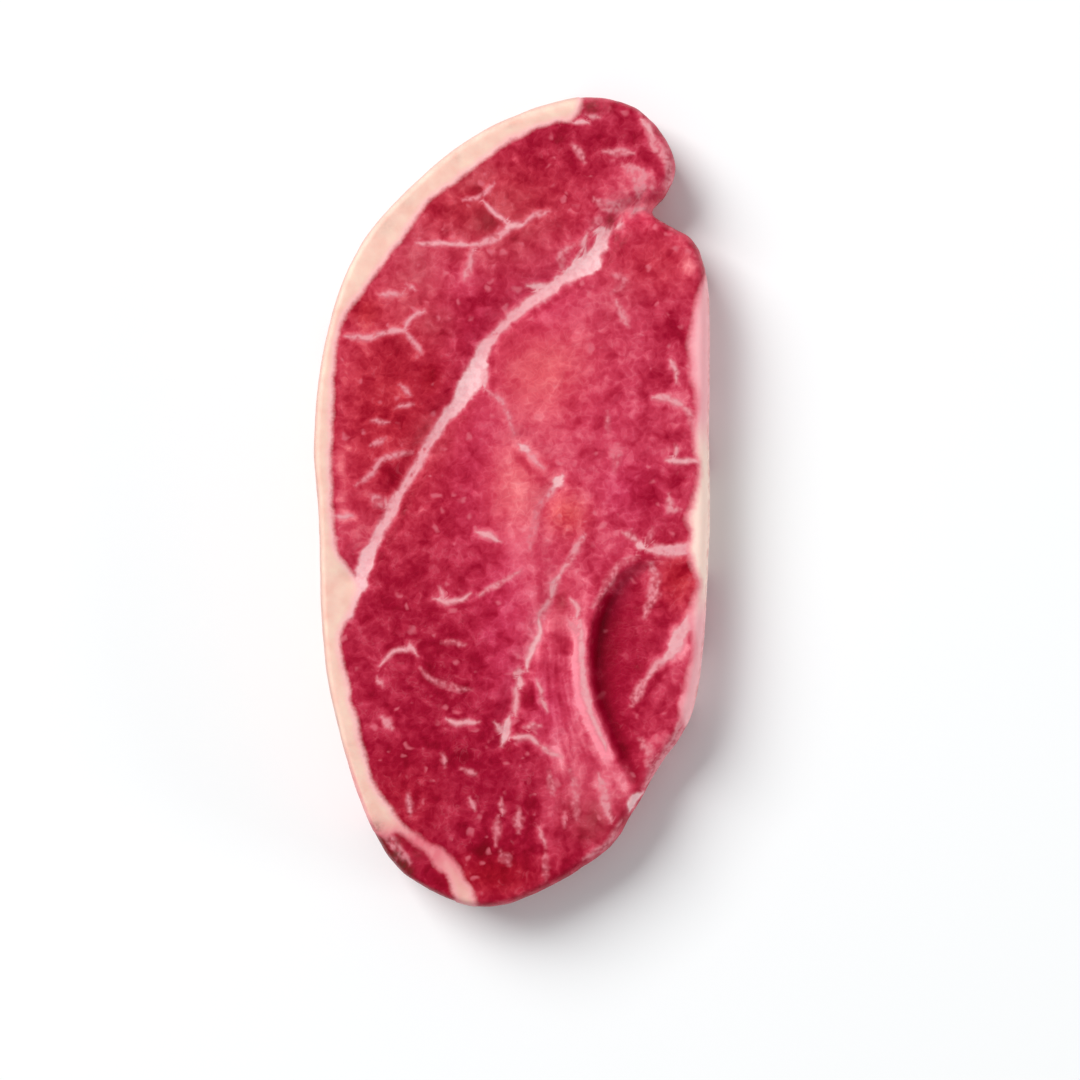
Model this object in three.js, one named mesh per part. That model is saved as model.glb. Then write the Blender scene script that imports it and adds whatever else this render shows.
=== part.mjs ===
// A raw rump steak: one slice cut across the rump, with its fat rim on.
//
// Millimetres, +Z up. The slice lies flat. The origin is under its middle, on the face that it rests
// on. +Y runs to the end with the notch, and the thick fat rim is on the -X side.
//
// The slice is one piece of meat, so it is one solid. Its upper cut face has the relief of a real one:
// the muscles swell between the seams that part them, the notch runs on as a crease, and the small
// muscle by the inner side has sunk away from the thin raised lip beside it.
import * as THREE from "three";

const THICKNESS = 20; // of the slice, at its middle
const TIP_THINNING = 2.6; // how much thinner the notched end is
const TAIL_THINNING = 1.6; // how much thinner the other end is
const END_START = 50; // how far from the middle each end begins to thin
const HALF_LENGTH = 105;
const HALF_WIDTH = 51;
const RIM_THICKENING = 0.8; // how much the fat rim stands up, and the inner side lies down

// The slice's edge from above, clockwise, as points of a smooth closed curve.
const EDGE = [
  // the rounded lobe at the notched end
  [17.5, 105], [30.5, 103], [39, 95.5], [42.5, 86.5], [40, 79.5],
  // the notch
  [36.5, 75],
  // the inner side
  [46.5, 68], [50, 60.5], [51, 16], [51, -11], [46.5, -55],
  // the tail
  [38, -69], [31, -81], [25, -90], [-4.5, -105], [-21, -101], [-33, -91],
  // the fat rim
  [-47.5, -48.5], [-50.5, -2], [-51.5, 16], [-48.5, 42], [-40, 65.5], [-25.5, 82.5], [-6.5, 97],
];

// The fat seam between the cap muscle and the large round one, from the notch to the fat rim.
const SEAM = [[36.5, 75], [28, 74], [20.5, 62.5], [4, 51.5], [-7, 40], [-12, 28.5], [-25, 9], [-40, -19]];
const SEAM_DEPTH = 0.9;
const SEAM_HALF_WIDTH = 3.6;

// The notch's crease dies out along the seam.
const CREASE_DEPTH = 3.2;
const CREASE_REACH = 9;

// The fissure in the large muscle.
const FISSURE = [[2, 16], [11.5, 5.5], [7, -3], [12, -20], [6.8, -33], [1.5, -46.5], [-2.5, -62]];
const FISSURE_DEPTH = 0.8;
const FISSURE_HALF_WIDTH = 2.6;

// The top of the raised lip, from the inner side down to the tail. The small muscle lies sunk on its
// outer side, deepest beside the lip's middle.
const LIP = [
  [46, -14.5], [34, -14.5], [26, -19.5], [20.5, -30], [19.3, -44], [22, -56], [27, -67], [33, -78],
];
const LIP_HEIGHT = 1.0;
const LIP_HALF_WIDTH = 5.0;
const LIP_RISE = 0.4; // share of the lip's length over which it rises, at its upper end
const LIP_FALL = 0.3; // and falls again, at its lower end
const SUNK_DEPTH = 3.2;
const SUNK_WALL = 4.4; // run of the steep wall under the lip
const SUNK_REACH = 19; // how far from the lip the small muscle is back at the height of the face

// The uneven swell of soft meat: heights and wave lengths of two crossing waves.
const SWELL_HEIGHT = 0.45;
const SWELL_LENGTH_X = 82;
const SWELL_LENGTH_Y = 120;
const RIPPLE_HEIGHT = 0.25;
const RIPPLE_LENGTH = 57;

// The side of the slice: a superellipse from the edge, which is half-way up, to each cut face. The
// firm fat keeps a sharper corner than the soft lean meat.
const FAT_ROUNDING = 2.6;
const LEAN_ROUNDING = 4.6;
const BASE_ROUNDING = 3.0;
const TOP_SQUARENESS = 2.5;
const BASE_SQUARENESS = 3.2;

// How finely the solid is faceted.
const EDGE_STEPS = 160;
const TOP_ROWS = 5; // from the edge up to the face
const BASE_ROWS = 3; // from the edge down to the underside
const FACE_RINGS = 18; // from the side in over the face
const LAST_RING = 0.95; // share of the way in to the spine, a line down the middle, that the rings go
const SPINE_SHARE = 0.62; // the spine's length over the slice's
const LINE_STEPS = 90;

const { lerp, smoothstep, clamp } = THREE.MathUtils;

function curveThrough(points, closed = false) {
  const places = points.map(([x, y]) => new THREE.Vector3(x, y, 0));
  return new THREE.CatmullRomCurve3(places, closed, "centripetal");
}

const seam = curveThrough(SEAM).getSpacedPoints(LINE_STEPS);
const fissure = curveThrough(FISSURE).getSpacedPoints(LINE_STEPS);
const lip = curveThrough(LIP).getSpacedPoints(LINE_STEPS);

// The nearest place on a line of points: how far off it is, whether it is on the left of the way that
// the line runs, and how far along the line it is, from 0 to 1.
function nearest(line, x, y) {
  let found = { off: Infinity };
  for (let i = 0; i + 1 < line.length; i++) {
    const a = line[i];
    const dx = line[i + 1].x - a.x;
    const dy = line[i + 1].y - a.y;
    const share = clamp(((x - a.x) * dx + (y - a.y) * dy) / (dx * dx + dy * dy), 0, 1);
    const offX = x - a.x - share * dx;
    const offY = y - a.y - share * dy;
    const off = Math.hypot(offX, offY);
    if (off < found.off) {
      found = { off, isLeft: dx * offY > dy * offX, along: (i + share) / (line.length - 1) };
    }
  }
  return found;
}

const bell = (off, halfWidth) => Math.exp(-((off / halfWidth) ** 2));
const wave = (way, length) => Math.sin((2 * Math.PI * way) / length);

// Height of the upper cut face over the board.
function faceHeight(x, y) {
  let z = THICKNESS - RIM_THICKENING * (x / HALF_WIDTH);
  z -= TIP_THINNING * smoothstep(y, END_START, HALF_LENGTH);
  z -= TAIL_THINNING * smoothstep(-y, END_START, HALF_LENGTH);
  z += SWELL_HEIGHT * wave(x, SWELL_LENGTH_X) * wave(y + SWELL_LENGTH_Y / 4, SWELL_LENGTH_Y);
  z += RIPPLE_HEIGHT * wave(x + y, RIPPLE_LENGTH);

  const toSeam = nearest(seam, x, y).off;
  const toNotch = Math.hypot(x - SEAM[0][0], y - SEAM[0][1]);
  z -= (SEAM_DEPTH + CREASE_DEPTH * bell(toNotch, CREASE_REACH)) * bell(toSeam, SEAM_HALF_WIDTH);

  z -= FISSURE_DEPTH * bell(nearest(fissure, x, y).off, FISSURE_HALF_WIDTH);

  const byLip = nearest(lip, x, y);
  const strength = smoothstep(byLip.along, 0, LIP_RISE) * smoothstep(1 - byLip.along, -LIP_FALL, LIP_FALL);
  if (byLip.isLeft) {
    const wall = smoothstep(byLip.off, 0, SUNK_WALL);
    const hollow = 1 - smoothstep(byLip.off, SUNK_WALL, SUNK_REACH);
    z += strength * (LIP_HEIGHT * (1 - wall) - SUNK_DEPTH * wall * hollow);
  } else {
    z += strength * LIP_HEIGHT * bell(byLip.off, LIP_HALF_WIDTH);
  }
  return z;
}

// The edge's points, each with the way inwards from it.
function edgePoints() {
  const points = curveThrough(EDGE, true).getSpacedPoints(EDGE_STEPS).slice(0, EDGE_STEPS);
  return points.map((p, i) => {
    const before = points[(i + EDGE_STEPS - 1) % EDGE_STEPS];
    const after = points[(i + 1) % EDGE_STEPS];
    const way = new THREE.Vector2(after.x - before.x, after.y - before.y).normalize();
    return { x: p.x, y: p.y, inwards: new THREE.Vector2(way.y, -way.x) };
  });
}

// A quarter of a superellipse, from the edge to a face: the run in from the edge and the climb to the
// face, each from 0 to 1.
function quarter(share, squareness) {
  const turn = (share * Math.PI) / 2;
  return { run: 1 - Math.cos(turn) ** (2 / squareness), climb: Math.sin(turn) ** (2 / squareness) };
}

// Rows of points from the underside's rim, out round the side, and in over the face to the spine.
// Every row has one point for each point of the edge.
function sliceRows() {
  const edge = edgePoints();
  const inset = (p, by, z) => new THREE.Vector3(p.x + p.inwards.x * by, p.y + p.inwards.y * by, z);
  const topRounding = (p) => lerp(FAT_ROUNDING, LEAN_ROUNDING, smoothstep(p.x, -HALF_WIDTH, HALF_WIDTH));
  const faceRim = edge.map((p) => {
    const at = inset(p, topRounding(p), 0);
    return at.setZ(faceHeight(at.x, at.y));
  });

  const rows = [];
  for (let row = BASE_ROWS; row > 0; row--) {
    const { run, climb } = quarter(row / BASE_ROWS, BASE_SQUARENESS);
    rows.push(edge.map((p, i) => inset(p, BASE_ROUNDING * run, (faceRim[i].z / 2) * (1 - climb))));
  }
  for (let row = 0; row < TOP_ROWS; row++) {
    const { run, climb } = quarter(row / TOP_ROWS, TOP_SQUARENESS);
    rows.push(edge.map((p, i) => inset(p, topRounding(p) * run, (faceRim[i].z / 2) * (1 + climb))));
  }
  for (let ring = 0; ring <= FACE_RINGS; ring++) {
    const share = (ring / FACE_RINGS) * LAST_RING;
    rows.push(
      faceRim.map((p) => {
        const x = p.x * (1 - share);
        const y = p.y * (1 - share * (1 - SPINE_SHARE));
        return new THREE.Vector3(x, y, faceHeight(x, y));
      }),
    );
  }
  return rows;
}

// Triangles that close a clockwise row, zipped from its +Y end to its other end.
function zip(row) {
  const step = (i, by) => (i + by + row.length) % row.length;
  let left = row.reduce((highest, p, i) => (p.y > row[highest].y ? i : highest), 0);
  let right = step(left, 1);
  const faces = [];
  while (faces.length < row.length - 2) {
    const [nextLeft, nextRight] = [step(left, -1), step(right, 1)];
    if (row[nextLeft].y > row[nextRight].y) {
      faces.push([left, nextLeft, right]);
      left = nextLeft;
    } else {
      faces.push([left, nextRight, right]);
      right = nextRight;
    }
  }
  return faces;
}

// One closed surface: bands between the rows, with the first and the last row zipped up.
function sliceGeometry() {
  const rows = sliceRows();
  const index = [];
  for (let row = 0; row + 1 < rows.length; row++) {
    for (let i = 0; i < EDGE_STEPS; i++) {
      const next = (i + 1) % EDGE_STEPS;
      const [a, b] = [row * EDGE_STEPS + i, row * EDGE_STEPS + next];
      const [c, d] = [a + EDGE_STEPS, b + EDGE_STEPS];
      // Each four-cornered patch is split along its shorter diagonal.
      const [below, above] = [rows[row], rows[row + 1]];
      if (below[i].distanceTo(above[next]) < below[next].distanceTo(above[i])) index.push(a, d, b, a, c, d);
      else index.push(a, c, b, b, c, d);
    }
  }
  const lastStart = (rows.length - 1) * EDGE_STEPS;
  for (const [a, b, c] of zip(rows[0])) index.push(a, c, b);
  for (const [a, b, c] of zip(rows.at(-1))) index.push(lastStart + a, lastStart + b, lastStart + c);

  const geometry = new THREE.BufferGeometry().setFromPoints(rows.flat());
  geometry.setIndex(index);
  geometry.computeVertexNormals();
  geometry.computeBoundingBox();
  const middle = geometry.boundingBox.getCenter(new THREE.Vector3());
  return geometry.translate(-middle.x, -middle.y, 0);
}

const rawBeef = new THREE.MeshStandardMaterial({ color: 0xb4203f, roughness: 0.35, metalness: 0 });

const slice = new THREE.Mesh(sliceGeometry(), rawBeef);
slice.name = "rump_steak";

const steak = new THREE.Group();
steak.add(slice);

export default steak;
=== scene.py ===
import math

import bpy
import numpy as np
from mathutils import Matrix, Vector, noise


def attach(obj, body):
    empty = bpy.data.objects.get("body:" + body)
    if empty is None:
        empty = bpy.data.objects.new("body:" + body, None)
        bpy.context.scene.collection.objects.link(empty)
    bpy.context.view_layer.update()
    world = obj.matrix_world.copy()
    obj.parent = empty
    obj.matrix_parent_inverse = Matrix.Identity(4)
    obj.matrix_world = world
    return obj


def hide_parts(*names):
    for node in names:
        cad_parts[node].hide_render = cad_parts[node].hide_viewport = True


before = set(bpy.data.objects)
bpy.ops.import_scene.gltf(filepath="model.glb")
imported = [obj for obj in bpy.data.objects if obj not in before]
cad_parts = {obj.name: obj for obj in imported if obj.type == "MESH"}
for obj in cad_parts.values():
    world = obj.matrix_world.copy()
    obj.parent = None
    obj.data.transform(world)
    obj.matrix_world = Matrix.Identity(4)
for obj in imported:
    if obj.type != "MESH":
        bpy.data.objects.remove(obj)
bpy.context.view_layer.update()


# ---- The view -----------------------------------------------------------------------------------
# The slice is seen from straight above. The picture is 280 mm wide at the slice's edge, which is
# half-way up its side, and the slice lies a little to the left of the picture's middle and above it.
MM = 0.001
PICTURE_WIDTH = 280.0
EDGE_HEIGHT = 10.5
VIEW_CENTRE = (7.13, -9.85)
LENS = 85.0
SENSOR = 36.0

camera_data = bpy.data.cameras.new("camera")
camera_data.lens = LENS
camera_data.sensor_width = SENSOR
camera = bpy.data.objects.new("camera", camera_data)
view_height = EDGE_HEIGHT + PICTURE_WIDTH * LENS / SENSOR
camera.location = Vector((*VIEW_CENTRE, view_height)) * MM
bpy.context.collection.objects.link(camera)
bpy.context.scene.camera = camera
bpy.context.scene.view_settings.view_transform = "Standard"


# ---- The slice's form ---------------------------------------------------------------------------
# One slice cut across the rump, 20 mm thick, as soft raw meat lies on a board. The underside is the
# other cut face and lies flat. All lengths are in millimetres.
THICKNESS = 20.0
TIP_THINNING = 2.6
TAIL_THINNING = 1.6
END_START = 50.0
HALF_LENGTH = 105.0
HALF_WIDTH = 51.0
RIM_THICKENING = 0.8

# The slice's edge from above, clockwise, half-way up its side.
EDGE = [
    # the rounded lobe at the notched end
    (17.5, 105), (30.5, 103), (39, 95.5), (42.5, 86.5), (40, 79.5),
    # the notch
    (36.5, 75),
    # the inner side
    (46.5, 68), (50, 60.5), (51, 16), (51, -11), (46.5, -55),
    # the tail
    (38, -69), (31, -81), (25, -90), (-4.5, -105), (-21, -101), (-33, -91),
    # the fat rim
    (-47.5, -48.5), (-50.5, -2), (-51.5, 16), (-48.5, 42), (-40, 65.5), (-25.5, 82.5), (-6.5, 97),
]
NOTCH = (36.5, 75)

# What is sunk into the upper face: the seam, the crease that the notch runs on in, and the fissure.
SEAM_DIP = [(36.5, 75), (28, 74), (20.5, 62.5), (4, 51.5), (-7, 40), (-12, 28.5), (-25, 9), (-40, -19)]
SEAM_DEPTH = 0.9
SEAM_HALF_WIDTH = 3.6
CREASE_DEPTH = 3.2
CREASE_REACH = 9.0

FISSURE = [(2, 16), (11.5, 5.5), (7, -3), (12, -20), (6.8, -33), (1.5, -46.5), (-2.5, -62)]
FISSURE_DEPTH = 0.8
FISSURE_HALF_WIDTH = 2.6

# The raised lip, from the inner side down to the tail, and the small muscle sunk beside it.
LIP = [(46, -14.5), (34, -14.5), (26, -19.5), (20.5, -30), (19.3, -44), (22, -56), (27, -67), (33, -78)]
LIP_HEIGHT = 1.0
LIP_HALF_WIDTH = 5.0
LIP_RISE = 0.4
LIP_FALL = 0.3
SUNK_DEPTH = 3.2
SUNK_WALL = 3.4
SUNK_REACH = 19.0

# The uneven swell of soft meat.
SWELL_HEIGHT = 0.45
SWELL_LENGTH_X = 82.0
SWELL_LENGTH_Y = 120.0
RIPPLE_HEIGHT = 0.25
RIPPLE_LENGTH = 57.0

# How the side rounds over to each face, sharper in the firm fat than in the soft lean meat.
FAT_ROUNDING = 2.6
LEAN_ROUNDING = 4.6
BASE_ROUNDING = 3.0
TOP_SQUARENESS = 2.5
BASE_SQUARENESS = 3.2

# Rows of points: up the side, and in over each face to a spine along most of the slice.
SPINE_SHARE = 0.8
AROUND = 760
TOP_ROWS = 14
BASE_ROWS = 10
FACE_RINGS = 60
UNDER_RINGS = 14
LAST_RING = 0.985
STEPS_BETWEEN = 24


def smooth_line(points, count, closed=False):
    """A centripetal Catmull-Rom curve through the points, as count + 1 evenly spaced places."""
    points = np.array(points, float)
    if closed:
        points = np.vstack([points[-1], points, points[0], points[1]])
    else:
        points = np.vstack([2 * points[0] - points[1], points, 2 * points[-1] - points[-2]])
    pieces = []
    share = np.linspace(0, 1, STEPS_BETWEEN, endpoint=False)[:, None]
    for before, start, end, after in zip(points, points[1:], points[2:], points[3:]):
        gaps = [math.sqrt(max(np.linalg.norm(b - a), 1e-4)) for a, b in
                ((before, start), (start, end), (end, after))]
        leave = (start - before) / gaps[0] - (end - before) / (gaps[0] + gaps[1]) + (end - start) / gaps[1]
        reach = (end - start) / gaps[1] - (after - start) / (gaps[1] + gaps[2]) + (after - end) / gaps[2]
        leave *= gaps[1]
        reach *= gaps[1]
        pieces.append(
            start
            + leave * share
            + (3 * (end - start) - 2 * leave - reach) * share**2
            + (2 * (start - end) + leave + reach) * share**3
        )
    places = np.vstack(pieces + [points[-2][None]])
    travelled = np.concatenate([[0], np.cumsum(np.linalg.norm(np.diff(places, axis=0), axis=1))])
    even = np.linspace(0, travelled[-1], count + 1)
    return np.stack([np.interp(even, travelled, places[:, axis]) for axis in (0, 1)], 1)


def nearest(line, x, y):
    """How far the places are from the line, how far aside to its left, and how far along it."""
    off = np.full(x.shape, np.inf)
    aside = np.zeros(x.shape)
    along = np.zeros(x.shape)
    steps = len(line) - 1
    for i in range(steps):
        (ax, ay), (bx, by) = line[i][:2], line[i + 1][:2]
        dx, dy = bx - ax, by - ay
        share = np.clip(((x - ax) * dx + (y - ay) * dy) / (dx * dx + dy * dy), 0, 1)
        off_x = x - ax - share * dx
        off_y = y - ay - share * dy
        distance = np.hypot(off_x, off_y)
        closer = distance < off
        off = np.where(closer, distance, off)
        aside = np.where(closer, (dx * off_y - dy * off_x) / math.hypot(dx, dy), aside)
        along = np.where(closer, (i + share) / steps, along)
    return off, aside, along


def smoothstep(value, low, high):
    """A smooth step from 0 to 1 as the value goes from low to high."""
    share = np.clip((value - low) / (high - low), 0, 1)
    return share * share * (3 - 2 * share)


def bell(off, half_width):
    """1 on the line, falling off smoothly to either side."""
    return np.exp(-((off / half_width) ** 2))


def wave(way, length):
    return np.sin(2 * np.pi * way / length)


seam_dip = smooth_line(SEAM_DIP, 60)
fissure = smooth_line(FISSURE, 50)
lip = smooth_line(LIP, 60)


def face_height(x, y):
    """Height of the upper cut face over the board."""
    z = THICKNESS - RIM_THICKENING * (x / HALF_WIDTH)
    z = z - TIP_THINNING * smoothstep(y, END_START, HALF_LENGTH)
    z = z - TAIL_THINNING * smoothstep(-y, END_START, HALF_LENGTH)
    z = z + SWELL_HEIGHT * wave(x, SWELL_LENGTH_X) * wave(y + SWELL_LENGTH_Y / 4, SWELL_LENGTH_Y)
    z = z + RIPPLE_HEIGHT * wave(x + y, RIPPLE_LENGTH)

    to_seam = nearest(seam_dip, x, y)[0]
    to_notch = np.hypot(x - NOTCH[0], y - NOTCH[1])
    dip = SEAM_DEPTH + CREASE_DEPTH * bell(to_notch, CREASE_REACH)
    z = z - dip * bell(to_seam, SEAM_HALF_WIDTH)
    z = z - FISSURE_DEPTH * bell(nearest(fissure, x, y)[0], FISSURE_HALF_WIDTH)

    off, aside, along = nearest(lip, x, y)
    strength = smoothstep(along, 0, LIP_RISE) * smoothstep(1 - along, -LIP_FALL, LIP_FALL)
    wall = smoothstep(off, 0, SUNK_WALL)
    hollow = 1 - smoothstep(off, SUNK_WALL, SUNK_REACH)
    sunk = LIP_HEIGHT * (1 - wall) - SUNK_DEPTH * wall * hollow
    return z + strength * np.where(aside > 0, sunk, LIP_HEIGHT * bell(off, LIP_HALF_WIDTH))


def quarter(share, squareness):
    """A quarter of a superellipse, from the edge to a face: run in from the edge, and climb."""
    turn = share * math.pi / 2
    return 1 - math.cos(turn) ** (2 / squareness), math.sin(turn) ** (2 / squareness)


edge = smooth_line(EDGE, AROUND, closed=True)[:AROUND]
way = np.roll(edge, -1, 0) - np.roll(edge, 1, 0)
way /= np.linalg.norm(way, axis=1)[:, None]
inwards = np.stack([way[:, 1], -way[:, 0]], 1)
rounding = FAT_ROUNDING + (LEAN_ROUNDING - FAT_ROUNDING) * smoothstep(edge[:, 0], -HALF_WIDTH, HALF_WIDTH)


def row_at(run, height):
    """One row of points round the slice, run in from the edge, at that height."""
    flat = edge + inwards * np.reshape(run, (-1, 1))
    return np.column_stack([flat, np.broadcast_to(height, AROUND)])


def ring_at(rim, share, height_at):
    """One row of points on a face, that share of the way in from its rim to the spine."""
    top = rim[np.argmax(rim[:, 1])]
    bottom = rim[np.argmin(rim[:, 1])]
    lean = (top[0] - bottom[0]) / (top[1] - bottom[1])
    y = rim[:, 1] * (1 - share * (1 - SPINE_SHARE))
    off_spine = rim[:, 0] - top[0] - lean * (rim[:, 1] - top[1])
    x = top[0] + lean * (y - top[1]) + off_spine * (1 - share)
    return np.column_stack([x, y, height_at(x, y)])


face_rim = row_at(rounding, 0)
side_height = face_height(face_rim[:, 0], face_rim[:, 1])
face_rim[:, 2] = side_height
under_rim = row_at(BASE_ROUNDING, 0)

rows = []
for step in range(UNDER_RINGS, 0, -1):
    share = LAST_RING * step / UNDER_RINGS
    rows.append(ring_at(under_rim, share, lambda x, y: 0 * x))
for step in range(BASE_ROWS, 0, -1):
    run, climb = quarter(step / BASE_ROWS, BASE_SQUARENESS)
    rows.append(row_at(BASE_ROUNDING * run, side_height / 2 * (1 - climb)))
for step in range(TOP_ROWS):
    run, climb = quarter(step / TOP_ROWS, TOP_SQUARENESS)
    rows.append(row_at(rounding * run, side_height / 2 * (1 + climb)))
for step in range(FACE_RINGS + 1):
    rows.append(ring_at(face_rim, LAST_RING * step / FACE_RINGS, face_height))
grid = np.stack(rows)


def zip_up(row, start):
    """Triangles that close a clockwise row, from its far end to its near end."""
    y = row[:, 1]
    left = int(np.argmax(y))
    right = (left + 1) % AROUND
    faces = []
    while len(faces) < AROUND - 2:
        next_left = (left - 1) % AROUND
        next_right = (right + 1) % AROUND
        if y[next_left] > y[next_right]:
            faces.append((start + left, start + next_left, start + right))
            left = next_left
        else:
            faces.append((start + left, start + next_right, start + right))
            right = next_right
    return faces


faces = []
for row in range(len(grid) - 1):
    for i in range(AROUND):
        a = row * AROUND + i
        b = row * AROUND + (i + 1) % AROUND
        faces.append((a, a + AROUND, b + AROUND, b))
last_start = (len(grid) - 1) * AROUND
faces += [(a, c, b) for a, b, c in zip_up(grid[0], 0)]
faces += zip_up(grid[-1], last_start)

# Which way each point of the surface faces, and how much of it is wall, upper face or underside.
round_way = np.roll(grid, -1, 1) - np.roll(grid, 1, 1)
up_way = np.gradient(grid, axis=0)
outward = np.cross(up_way, round_way)
outward /= np.linalg.norm(outward, axis=2)[:, :, None] + 1e-9
x, y, z = grid[..., 0], grid[..., 1], grid[..., 2]
depth = np.clip(face_height(x, y) - z, 0, None)
is_wall = 1 - np.abs(outward[..., 2])


def lumps(size, seed, x, y, z=0):
    """Smooth uneven lumps about that size across, from -1 to 1."""
    places = np.stack(np.broadcast_arrays(x, y, z), -1).reshape(-1, 3) / size + seed * 17.3
    found = np.fromiter((noise.noise(p) for p in places.tolist()), float, len(places))
    return found.reshape(np.shape(x))


# ---- What the meat is made of -------------------------------------------------------------------
# Fat, seams and marbling run down through the slice, so each is a place on the cut face, carried
# down at a slant. Seen from above, the face is nearer than the slice's edge and looks a little larger,
# and the places in this section are as they look.
SLANT = (0.10, -0.13)
DRIFT = 2.6
WOBBLE = 0.45

nearness = (view_height - EDGE_HEIGHT) / (view_height - THICKNESS)
down = depth / THICKNESS
across = VIEW_CENTRE[0] + (x - VIEW_CENTRE[0]) * nearness
along = VIEW_CENTRE[1] + (y - VIEW_CENTRE[1]) * nearness
across += SLANT[0] * depth + DRIFT * down * lumps(26, 1, x, y) + WOBBLE * lumps(4.5, 2, x, y, z / 3)
along += SLANT[1] * depth + DRIFT * down * lumps(26, 3, x, y) + WOBBLE * lumps(4.5, 4, x, y, z / 3)

# The rim of fat down the left: its border with the lean meat, and the thin strip of lean outside it.
FAT_BORDER = [
    (18.5, 108), (17.4, 102), (14.8, 99.2), (10, 98.6), (1, 94.9), (-14, 84), (-21.2, 78.6), (-28, 69.6),
    (-38.4, 55), (-44, 47), (-46.3, 36), (-46.8, 22), (-46.5, -6), (-45.6, -12), (-42.8, -16.8),
    (-40, -21.6), (-41, -26.5), (-44.8, -35), (-43, -46), (-40.4, -57), (-35.8, -73), (-31.4, -80),
    (-28.6, -83.6), (-25.6, -86.2), (-22, -88.4), (-18.4, -90.2), (-15.6, -92.6), (-13.8, -95.4),
    (-12.4, -98.2), (-10.8, -101), (-9.6, -103.6), (-9, -110),
]
OUTER_STRIP = [
    (-45, -85), (-36.4, -86.4), (-32.6, -87), (-30.2, -85.8), (-28, -86.6), (-25.6, -88.8), (-22.6, -91.6),
    (-20, -94.8), (-17.6, -97), (-16.2, -99.4), (-15.2, -103), (-14.4, -109),
]
# The thin pale rim down the right, pink at its ends and creamy in its middle.
INNER_RIM = [
    (53, 61.5), (48.6, 55.6), (46.2, 47), (45.9, 35), (47.4, 25.5), (46.8, 19.5), (46.8, 14.5), (48.2, 7.5),
    (45.8, -1), (45, -5), (46, -8.6), (44.8, -12), (46.5, -17), (47.9, -21.5), (45.6, -29), (46.6, -38),
    (44, -50), (43, -53.5), (44.4, -59), (52, -63),
]
RIM_FADE = 7.0
CREAM_START = 14.0
CREAM_END = -24.0
# The left rim is creamy, but pink where it thins out in the tail, and half creamy at its end.
TAIL_CREAM = [(-110, 0.6), (-100, 0.65), (-96, 0.35), (-93, 0.1), (-87, 0.0), (-84, 0.6), (-80, 1.0)]

off, aside, _ = nearest(smooth_line(FAT_BORDER, 150), across, along)
inside_border = np.where(aside > 0, -off, off)
off, aside, _ = nearest(smooth_line(OUTER_STRIP, 30), across, along)
inside_strip = np.where(aside > 0, off, -off)
fat_depth = np.minimum(inside_border, inside_strip)
off, aside, _ = nearest(smooth_line(INNER_RIM, 80), across, along)
rim_depth = np.where(aside > 0, off, -off)
rim_depth -= RIM_FADE * smoothstep(depth, 4, 15) * (0.7 + 0.8 * lumps(15, 11, x, y, z))
# Down the walls the borders are sharp, because the knife went along them and not across.
wall = smoothstep(depth, 1.5, 5)
fat_depth *= 1 + 1.5 * wall
rim_depth *= 1 + 1.5 * wall
patchy_along = along + 9 * wall * lumps(6, 12, x, y, z)
right_cream = smoothstep(patchy_along, CREAM_END - 8, CREAM_END + 4)
right_cream *= 1 - smoothstep(patchy_along, CREAM_START - 4, CREAM_START + 10)
left_cream = np.interp(along, *zip(*TAIL_CREAM))
left_cream *= 1 - 0.6 * smoothstep(depth, 0.1, 0.9) * smoothstep(-along, 60, 76)
cream = np.where(across > 0, np.where(along > 70, 1.0, right_cream), left_cream)
# Painted shade: the fat is coloured darker down its outer side, where it rounds down from the face.
outer_shade = 0.85 * smoothstep(depth, 0.1, 2.4)
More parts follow.
